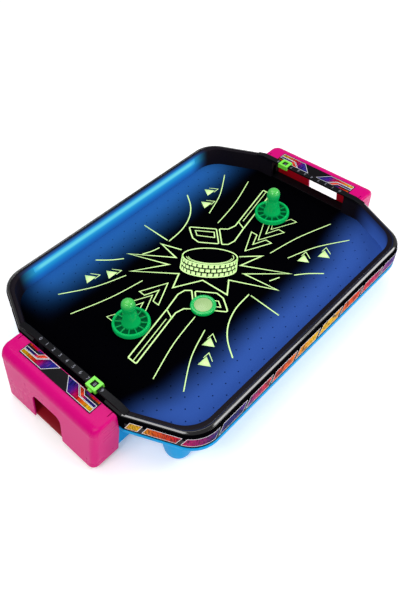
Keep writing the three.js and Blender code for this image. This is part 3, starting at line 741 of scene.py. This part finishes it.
def puck_sign():
    """A plain tilted disc with a knurled edge."""
    tilt, long_half, short_half, depth = math.radians(126), 38, 16.5, 23
    face = Vector((17, 10.5))
    along, across = Vector((math.cos(tilt), math.sin(tilt))), Vector((math.sin(tilt), -math.cos(tilt)))

    def oval(centre, scale, start, end, steps):
        points = []
        for i in range(steps + 1):
            angle = math.radians(start + (end - start) * i / steps)
            spot = centre + along * (long_half * scale * math.cos(angle))
            spot += across * (short_half * scale * math.sin(angle))
            points.append((spot.x, spot.y))
        return points

    shapes = [ribbon(art(oval(face, 1, 0, 360, 48)[:-1]), 1.8, closed=True)]
    for scale, start in ((0.87, 160), (0.8, 185)):
        shapes.append(ribbon(art(oval(face, scale, start, 350, 24)), 1.0))
    back = face - across * depth
    rim = oval(back, 1, 180, 360, 30)
    front = oval(face, 1, 180, 360, 30)
    shapes.append(ribbon(art([front[0]] + rim + [front[-1]]), 1.8))
    rows, columns = 3, 14
    for column in range(columns):
        for row in range(rows):
            shift = 0.5 if row % 2 else 0.0
            start, end = (column + shift + 0.12) / columns, (column + shift + 0.88) / columns
            if end > 0.99:
                continue
            corners = []
            for share, level in ((start, 0), (end, 0), (end, 1), (start, 1)):
                angle = math.radians(184 + 172 * share)
                step = (row + 0.14 + 0.72 * level) / rows
                spot = face - across * (depth * step)
                spot += along * (long_half * math.cos(angle)) + across * (short_half * math.sin(angle))
                corners.append((spot.x, spot.y))
            shapes.append(flat(art(corners)))
    return shapes


def field_print():
    shapes = speed_lines()
    shapes.append(ribbon(art(burst()), 2.0))
    for line, width, closed in stick_lines():
        for points in (line, half_turn(line)):
            shapes.append(ribbon(art(points), width, closed=closed))
    for step, width in ((0, 1.4), (29, 1.2), (58, 1.0)):
        right = chevron(57 + step, -19, width)
        shapes.append(right)
        shapes.append(moved(right, 2 * ART_X, 2 * ART_Y, turn=math.pi))
    for side_x in (-1, 1):
        for side_y in (-1, 1):
            for x, y in ((121, 108), (96, 92)):
                centre = (side_x * x, side_y * y)
                tip = side_y * 7
                solid = [(-8, -tip), (8, -tip), (0, tip)]
                shapes.append(flat(art([(centre[0] + a, centre[1] + b) for a, b in solid])))
                shift_x, shift_y = centre[0] + 6, centre[1] - side_y * 1.5
                edge = [(1, tip * 0.7), (8, -tip), (-2, -tip)]
                shapes.append(ribbon(art([(shift_x + a, shift_y + b) for a, b in edge]), 1.0))
    shapes += puck_sign()
    return merge(*shapes)


make("field_print", field_print(), "ink", smooth=180)

# ---- wall frame

# share of the way from the inner to the outer outline, and height
RIM_BEAD = curve_through([
    (0.47, 79.15), (0.53, 79.3), (0.57, 79.95), (0.63, RIM_TOP), (0.68, 80.18),
    (0.76, 79.65), (0.84, 79.08), (0.91, 78.2), (0.97, 76.7), (1, 74.5),
], 4)
RIM_PROFILE = [
    (0, 52.3), (0, 78.7), (0.02, 79.3), (0.06, 79.7), (0.1, RIM_FLAT), (0.42, RIM_FLAT), (0.445, 79.55),
    *RIM_BEAD, (1, 52.8),
]


def rim_half():
    inner, outer = half_outline(FIELD), half_outline(OUTSIDE)
    loops = []
    for a, b in zip(inner, outer):
        loops.append([(*a.lerp(b, share), z) for share, z in RIM_PROFILE])
    return skin(loops)


def rim():
    shapes = []
    for turn in (0, math.pi):
        shapes.append(moved(rim_half(), turn=turn))
    piece = make("rim", merge(*shapes), "frame", drops=["rim_frame"])
    slots = [block((-157, 157), (side * 162, side * 166), (67.8, 77.8)) for side in (-1, 1)]
    piece.data.materials.append(looks["wall"])
    piece.data.materials.append(looks["bead"])
    # inner faces take the wall look with its painted blue glow; the bead faces take the polish
    for face in piece.data.polygons:
        out = face.normal.xy.dot(face.center.xy.normalized())
        if face.center.z > (RIM_FLAT + 0.05) * MM or (out > 0.05 and face.center.z > 78.5 * MM):
            face.material_index = 2
        elif out <= 0.05:
            face.material_index = 1
    carve(piece, *slots)
    soften(piece, 30)


rim()


def mouth_parts(name, place):
    cheek = MOUTH_HALF + 2
    shapes = [block((227.3, NECK_END), (-cheek, cheek), (50.1, PLAY_Z))]
    for hand in (-1, 1):
        shapes.append(block((228, NECK_END), (hand * MOUTH_HALF, hand * cheek), (50.1, RIM_TOP - 9)))
    make(f"mouth_frame_{name}", place(merge(*shapes)), "black", bevel=0.3)


both_ends(mouth_parts)

# ---- light bars

for side, name in ((-1, "front"), (1, "back")):
    rail = block((-RAIL_HALF_LENGTH, RAIL_HALF_LENGTH), (side * 162.4, side * 166.2), (67.85, 77.75))
    make(f"light_bar_{name}", rail, "light", bevel=0.7, segments=4, drops=[f"light_rail_{name}"])

# ---- printed band round the outside

BAND_LOW, BAND_HIGH = 56.8, 73.8
CELL_PITCH, CELL_SLANT = 45.2, 9.0
GAP_PAST_MIDDLE = 6


def band_path():
    """Front half of the outside, from the near goal corner to the far one, as points and lengths."""
    points = [Vector((-p.x, -p.y)) for p in half_outline(OUTSIDE, 0.75, mouth=86)]
    lengths = [0.0]
    for a, b in zip(points, points[1:]):
        lengths.append(lengths[-1] + (b - a).length)
    return points, lengths


def on_path(points, lengths, distance):
    """The point at a distance along the path, and the way outwards there."""
    i = 0
    while i < len(points) - 2 and distance > lengths[i + 1]:
        i += 1
    share = (distance - lengths[i]) / (lengths[i + 1] - lengths[i])
    way = (points[i + 1] - points[i]).normalized()
    return points[i].lerp(points[i + 1], share), Vector((way.y, -way.x))


def cell(path, start, end, low, high, lift, thick=0.05):
    """A slanted patch of print that follows the wall."""
    points, lengths = path
    steps = max(2, int((end - start) / 2.5))
    loops = []
    for i in range(steps + 1):
        loop = []
        for z, depth in ((low, lift), (high, lift), (high, lift + thick), (low, lift + thick)):
            lean = CELL_SLANT * (z - BAND_LOW) / (BAND_HIGH - BAND_LOW)
            spot, out = on_path(points, lengths, start + (end - start) * i / steps + lean)
            spot = spot + out * depth
            loop.append((spot.x, spot.y, z))
        loops.append(loop)
    return skin(loops)


def band(name, turn):
    path = band_path()
    total = path[1][-1]
    middle = total / 2
    outlines, fills = [], []
    # cells are counted from a gap just past the middle of the long side
    first = middle + GAP_PAST_MIDDLE - CELL_PITCH * int((middle + GAP_PAST_MIDDLE) / CELL_PITCH)
    edges = [5.0] if first > 14 else []
    distance = first
    while distance < total - 12:
        edges.append(distance)
        distance += CELL_PITCH
    edges.append(total - 9)
    for start, end in zip(edges, edges[1:]):
        outlines.append(cell(path, start + 2.6, end - 2.6, BAND_LOW + 0.8, BAND_HIGH - 0.8, 0.0))
        fills.append(cell(path, start + 3.3, end - 3.3, BAND_LOW + 1.6, BAND_HIGH - 1.6, 0.08))
    make(f"band_outline_{name}", moved(merge(*outlines), turn=turn), "white ink")
    make(f"band_cells_{name}", moved(merge(*fills), turn=turn), f"band {name}")


band("front", 0)
band("back", math.pi)

# ---- base tub


def tub():
    rows = [
        (-26.5, TUB_FLOOR), (-24.2, 8.8), (-22.8, 9.8), (-21.9, 11.6), (-16.9, 43.5), (-16, 45.7),
        (-14.2, LIP_BOTTOM), (-0.2, LIP_BOTTOM), (0.35, 46.7), (0.6, 47.2), (0.6, 51.9), (0.4, 52.35),
        (0, LIP_TOP), (-1.6, LIP_TOP), (-1.6, LEDGE), (-18.2, LEDGE), (-24.2, 10.7),
    ]
    shell = skin([[(*point, z) for point in outline(OUTSIDE, offset)] for offset, z in rows])
    piece = make("tub", shell, "cyan", drops=["base_tub"])
    grille = turned([(0.01, 7), (31, 7), (31, 12), (0.01, 12)], 64)
    door = block((120 - 31, 120 + 31), (-29, 29), (7, 12))
    switch = block((-66.4, -53.6), (150, 165), (25.8, 30.2))
    mouths = [block((side * 226, side * 238), (-67, 67), (LEDGE, 54)) for side in (-1, 1)]
    carve(piece, grille, door, switch, *mouths)
    soften(piece, 30)


tub()


def leg_profile():
    cup = curve_through([(11.2, 2.2), (14.4, 5), (16.5, 10.2), (17.6, 20), (18.4, 34), (18.8, 46.8)], 5)
    return [(0.01, 2.2), (10.2, 2.2)] + cup + [(0.01, 46.8)]


def tub_extras():
    shapes = [moved(turned(leg_profile(), 72), x * LEG_X, y * LEG_Y) for x in (-1, 1) for y in (-1, 1)]
    make("tub_legs", merge(*shapes), "cyan")
    necks = [block((side * 214, side * NECK_END), (-NECK_HALF, NECK_HALF), (TUB_FLOOR, LEDGE))
        for side in (-1, 1)]
    make("tub_necks", merge(*necks), "cyan", bevel=1.2, segments=3)


tub_extras()

for i, (x, y) in enumerate([(-1, -1), (-1, 1), (1, -1), (1, 1)]):
    pad = turned([(0.01, 0), (9.2, 0), (9.8, 0.3), (10, 0.8), (10, 1.9), (0.01, 1.9)], 48)
    make(f"pad_{i + 1}", moved(pad, x * LEG_X, y * LEG_Y), "rubber", drops=[f"foot_pad_{i + 1}"])

SCREWS = [(x, y) for y in (-169.5, 169.5) for x in (-163, 163)]
SCREWS += [(x, y) for x in (-229.2, 229.2) for y in (-85.5, 85.5)]
for i, (x, y) in enumerate(SCREWS):
    head = turned([
        (0.01, 43.8), (1.6, 43.8), (2.4, 44.1), (2.9, 45), (2.9, 46.2), (1.2, 46.2), (1.2, 61), (0.01, 62),
    ], 28)
    screw = make(f"screw_{i + 1}", moved(head, x, y), "steel", origin=(x, y, 45),
        drops=[f"frame_screw_{i + 1}"])
    cross = [block((x - 1.6, x + 1.6), (y - 0.35, y + 0.35), (43, 44.9)),
        block((x - 0.35, x + 0.35), (y - 1.6, y + 1.6), (43, 44.9))]
    carve(screw, *cross)

# ---- score bars, numerals and sliders


def bar(name, place):
    """A bridge over the goal mouth with sloping ends on the rim."""
    low, under, slope = RIM_FLAT + 0.1, BAR_TOP - 2.7, 13
    half = [(0, under), (MOUTH_HALF, under), (MOUTH_HALF, low), (BAR_HALF, low), (BAR_HALF, low + 1),
        (BAR_HALF - slope, BAR_TOP)]
    profile = half + [(-y, z) for y, z in reversed(half[1:])]
    loops = [[(BAR_X + side * 4.25, y, z) for y, z in profile] for side in (-1, 1)]
    make(f"bar_{name}", place(skin(loops)), "black", bevel=0.5, segments=3, drops=[f"score_bar_{name}"])


both_ends(bar)


def numerals(name, turn):
    """Raised digits 0 to 9, read from that end's goal."""
    parts = []
    for digit in range(10):
        text = bpy.data.curves.new(f"digit_{digit}", "FONT")
        text.body = str(digit)
        text.size = 6.4 * MM
        text.extrude = 0.05 * MM
        text.align_x = "CENTER"
        text.align_y = "CENTER"
        holder = bpy.data.objects.new("digit_holder", text)
        bpy.context.scene.collection.objects.link(holder)
        bpy.context.view_layer.update()
        mesh = bpy.data.meshes.new_from_object(holder.evaluated_get(bpy.context.evaluated_depsgraph_get()))
        y = digit * SCORE_PITCH - SCORE_ZERO
        place = Matrix.Translation((BAR_X * MM, y * MM, (BAR_TOP + 0.05) * MM))
        mesh.transform(Matrix.Rotation(turn, 4, "Z") @ place @ Matrix.Rotation(math.pi / 2, 4, "Z"))
        points = [tuple(vertex.co / MM) for vertex in mesh.vertices]
        parts.append((points, [tuple(face.vertices) for face in mesh.polygons]))
        bpy.data.objects.remove(holder)
    make(f"numerals_{name}", merge(*parts), "number", smooth=30)


numerals("far", 0.0)
numerals("near", math.pi)


def slider(name, place):
    y = SHOWN_SCORE * SCORE_PITCH - SCORE_ZERO
    body = block((BAR_X - 7.05, BAR_X + 7.05), (y - 8, y + 8), (79.6, 86))
    holes = [
        block((BAR_X - 4.65, BAR_X + 4.65), (y - 9, y + 9), (80.9, 84.4)),
        block((BAR_X - 2.65, BAR_X + 2.65), (y - 9, y + 9), (78, 81)),
        block((BAR_X - 4, BAR_X + 4), (y - 4, y + 4), (84, 87)),
    ]
    tab = block((BAR_X + 6.5, BAR_X + 9.25), (y - 3, y + 3), (79.6, 82))
    piece = make(f"slider_{name}", place(body), "lime", body=f"slider_{name}", bevel=0.7, segments=3,
        drops=[f"score_slider_{name}"])
    carve(piece, *[place(hole) for hole in holes])
    carve(piece, place(tab), operation="UNION")


both_ends(slider)

# ---- goal boxes


def box_loop(rear, front, half, radius, z, steps=10):
    points = [(rear, -half, z)]
    for side, start in ((-1, -90), (1, 0)):
        for i in range(steps + 1):
            angle = math.radians(start + 90 * i / steps)
            points.append((front - radius + radius * math.cos(angle),
                side * (half - radius) + radius * math.sin(angle), z))
    points.append((rear, half, z))
    return points


def box_skin(inset, rear_shift, bottom):
    """A goal box with leaning sides and a rounded shoulder; the inset one is its inside."""
    shoulder = BOX_TOP - SHOULDER

    def between(z, start, end):
        return start + (end - start) * (z - BOX_FOOT_Z) / (shoulder - BOX_FOOT_Z)

    def half_at(z):
        share = (z - BOX_FOOT_Z) / (BOX_TOP - BOX_FOOT_Z)
        return BOX_HALF_LOW + (BOX_HALF_HIGH - BOX_HALF_LOW) * share - inset

    def rear_at(z):
        return max(BOX_REAR, 241 - 5.4 * (z - BOX_FOOT_Z) / (LIP_BOTTOM - BOX_FOOT_Z)) + rear_shift

    loops = []
    for z in (bottom, 20, LIP_BOTTOM, shoulder - 3, shoulder):
        front = between(z, BOX_FRONT_LOW, BOX_FRONT_HIGH) - inset
        loops.append(box_loop(rear_at(z), front, half_at(z), BOX_CORNER - inset, z))
    steps = 9
    reach = SHOULDER - inset
    for i in range(1, steps + 1):
        bend = math.radians(90 * i / steps)
        z = shoulder + reach * math.sin(bend)
        tuck = 3.2 * max(0, (i - steps * 0.5) / (steps * 0.5)) ** 2
        front = BOX_FRONT_HIGH - inset - reach * (1 - math.cos(bend))
        loops.append(box_loop(BOX_REAR + rear_shift, front, half_at(z) - tuck, BOX_CORNER - inset, z))
    return skin(loops)


def notch_shape():
    edge = []
    half, top, corner, steps = 26, 47.5, 9, 8
    for start, side in ((0, 1), (90, -1)):
        for i in range(steps + 1):
            angle = math.radians(start + 90 * i / steps)
            edge.append((side * (half - corner) + corner * math.cos(angle),
                top - corner + corner * math.sin(angle)))
    edge = [(half, 2)] + edge + [(-half, 2)]
    return skin([[(x, y, z) for y, z in edge] for x in (262, 292)])


def goal(name, place):
    piece = make(f"goal_{name}", place(box_skin(0, 0, BOX_FOOT_Z)), "pink", drops=[f"goal_box_{name}"])
    slits = [block((BOX_REAR - 1, BOX_REAR + 7.5), (side * 79.8, side * 80.9), (BOX_TOP - 4, BOX_TOP + 1))
        for side in (-1, 1)]
    # the box's inner faces take the red painted shade
    carve(piece, place(box_skin(WALL, -12, BOX_FOOT_Z - 2)), inside_look="pink painted shade inside")
    carve(piece, place(notch_shape()), *[place(slit) for slit in slits])
    soften(piece, 32, 0.35, 2)


both_ends(goal)


def box_print(name, place):
    """Chevron bands that mirror about a dark middle."""
    z = BOX_TOP + 0.7
    white, inks = [], {"label": [], "label navy": [], "label red": []}
    patches = [
        ("label", [(23.2, 1.1), (7.6, 16.9), (25.6, 16.9), (37.8, 6.5), (62.4, 6.5), (62.4, 1.1)]),
        ("label navy", [(38.8, 7.5), (27.6, 16.9), (35.4, 16.9), (41.4, 11.4), (62.4, 11.4), (62.4, 7.5)]),
        ("label red", [(41.6, 14.4), (38.7, 16.9), (62.4, 16.9), (62.4, 14.4)]),
    ]
    for ink, patch in patches:
        for side in (-1, 1):
            spots = [Vector((253.6 - depth, side * along)) for along, depth in patch]
            if ink != "label red":
                white.append(ribbon(spots, 0.6, z=z, thick=0.05, closed=True))
            inks[ink].append(flat(spots, z=z, thick=0.04))
    make(f"label_lines_{name}", place(merge(*white)), "white ink", smooth=180)
    for ink, shapes in inks.items():
        label = ink.replace(" ", "_")
        make(f"{label}_{name}", place(merge(*shapes)), ink, smooth=180)


both_ends(box_print)

# ---- strikers and puck


def striker():
    disc = curve_through([
        (22.6, 1.6), (24.2, 2.1), (24.6, 3.4), (24.6, 6.6), (24.1, 8.3), (23.0, 8.9), (21.7, 8.7),
        (20.9, 7.6), (20.5, 5.2), (19.6, 4.4),
    ], 4)
    neck = curve_through([
        (12.9, 4.4), (12.3, 7), (11.3, 10.5), (10.2, 15), (9.2, 21), (8.4, 26), (7.9, 29), (8.4, 32),
        (9.1, 35.5), (9.1, 39), (8.2, 42.4), (6.1, 45), (3.2, 46.4), (0.01, 46.6),
    ], 4)
    profile = [(0.01, 1.6)] + disc + neck
    ribs = [moved(block((11.4, 20.9), (-0.8, 0.8), (4, 7.4)), turn=2 * math.pi * (i / 12 + 1 / 48))
        for i in range(12)]
    return merge(turned(profile, 72), *ribs)


for name, (x, y) in STRIKERS.items():
    body = f"striker_{name}"
    foot = (x, y, PLAY_Z)
    make(f"mallet_{name}", moved(striker(), *foot), "striker", body=body, origin=foot,
        drops=[f"striker_{name}"])
    felt = turned([(14, 0.3), (22, 0.3), (22, 1.4), (14, 1.4)], 48, ring=True)
    make(f"felt_{name}", moved(felt, *foot), "felt", body=body, origin=foot,
        drops=[f"striker_felt_{name}"])

puck_foot = (*PUCK, PLAY_Z)
ring = curve_through([
    (12.0, 0.4), (14.6, 0.35), (16.2, 0.8), (16.75, 2), (16.75, 4), (16.2, 5.3), (14.6, 5.8),
    (13, 5.6), (12.1, 5.1),
], 4)
make("puck_body", moved(turned(ring, 64, ring=True), *puck_foot), "puck", body="puck", origin=puck_foot,
    drops=["puck_ring"])
core = [(0.01, 0.7), (11.2, 0.7), (11.9, 1.2), (11.9, 4.8), (11.2, 5.2), (0.01, 5.3)]
make("puck_middle", moved(turned(core, 64), *puck_foot), "core", body="puck", origin=puck_foot,
    drops=["puck_core"])

# ---- carried-over CAD pieces

CARRIED = {
    "goal_tray_near": "tray", "goal_tray_far": "tray",
    "box_label_near": "black ink", "box_label_far": "black ink",
    "side_label_front": "black ink", "side_label_back": "black ink",
    "led_strip_front": "white", "led_strip_back": "white",
    "intake_grille": "grey", "fan_housing": "grey", "impeller": "white",
    "motor_shaft": "steel", "fan_motor": "steel", "battery_box": "grey", "battery_door": "cyan",
    "battery_contacts_back": "steel", "battery_contacts_front": "steel",
    "switch_body": "black", "switch_knob": "grey",
}
SOFTENED = ("goal_tray", "fan_housing", "battery_box", "battery_door", "switch_")
looks["cell"] = Look("battery sleeve", srgb(44, 110, 73), rough=0.3, bump=0.02).material
looks["wire"] = Look("wire sleeve", srgb(170, 30, 28), rough=0.45).material
for name, node in nodes.items():
    look = CARRIED.get(name)
    if name.startswith("battery_") and name[-1].isdigit():
        look = "cell"
    elif name.startswith("wire_"):
        look = "wire"
    if look:
        node.data.materials.clear()
        node.data.materials.append(looks[look])
        if name.startswith(SOFTENED):
            edges = node.modifiers.new("softened edges", "BEVEL")
            edges.width, edges.segments = 0.35 * MM, 2
            edges.limit_method, edges.angle_limit = "ANGLE", MOST_BEVEL_ANGLE

# ---- floor, light and camera


def stage_floor():
    reach = 2.5
    mesh = bpy.data.meshes.new("studio_floor")
    mesh.from_pydata([(-reach, -reach, 0), (reach, -reach, 0), (reach, reach, 0), (-reach, reach, 0)], [],
        [(0, 1, 2, 3)])
    floor = bpy.data.objects.new("studio_floor", mesh)
    bpy.context.scene.collection.objects.link(floor)
    look = Look("studio paper", srgb(250, 250, 250), rough=0.9, spread=0.03, grain=60, bump=0.0,
        mottle=0.01)
    look.set(Emission_Color=(1, 1, 1, 1), Emission_Strength=0.22)
    mesh.materials.append(look.material)


def area_light(name, place, aim, size, power, colour=(1, 1, 1)):
    light = bpy.data.lights.new(name, "AREA")
    light.shape = "RECTANGLE"
    light.size, light.size_y = size
    light.energy = power
    light.color = colour
    lamp = bpy.data.objects.new(name, light)
    lamp.location = place
    lamp.rotation_euler = (Vector(aim) - Vector(place)).to_track_quat("-Z", "Y").to_euler()
    bpy.context.scene.collection.objects.link(lamp)


stage_floor()
area_light("key", (-1.25, -0.1, 1.5), (0, 0, 0), (0.9, 0.8), 14)
area_light("fill near", (0.6, -1.1, 1.3), (0, 0, 0), (0.7, 0.5), 8)
area_light("fill far", (1.3, -0.87, 1.1), (0, 0, 0), (0.7, 0.5), 8)
area_light("top", (0.3, 0.8, 2.2), (0.2, 0.3, 0), (1.6, 1.6), 20)
area_light("low", (-0.1, -1.5, 0.45), (0, 0, 0.05), (1.0, 0.4), 4.5)

world = bpy.data.worlds.new("studio")
world.use_nodes = True
world.node_tree.nodes["Background"].inputs["Color"].default_value = (1, 1, 1, 1)
world.node_tree.nodes["Background"].inputs["Strength"].default_value = 0.3
bpy.context.scene.world = world
bpy.context.scene.view_settings.view_transform = "Standard"

lens = bpy.data.cameras.new("camera")
lens.lens = 35.93
lens.sensor_width = 36
lens.shift_x = 0.0275
lens.shift_y = 0.0491
lens.clip_start = 0.01
camera = bpy.data.objects.new("camera", lens)
camera.location = (-0.41026, -0.38726, 0.63344)
camera.rotation_euler = [math.radians(angle) for angle in (38.934, 2.606, -46.51)]
bpy.context.scene.collection.objects.link(camera)
bpy.context.scene.camera = camera
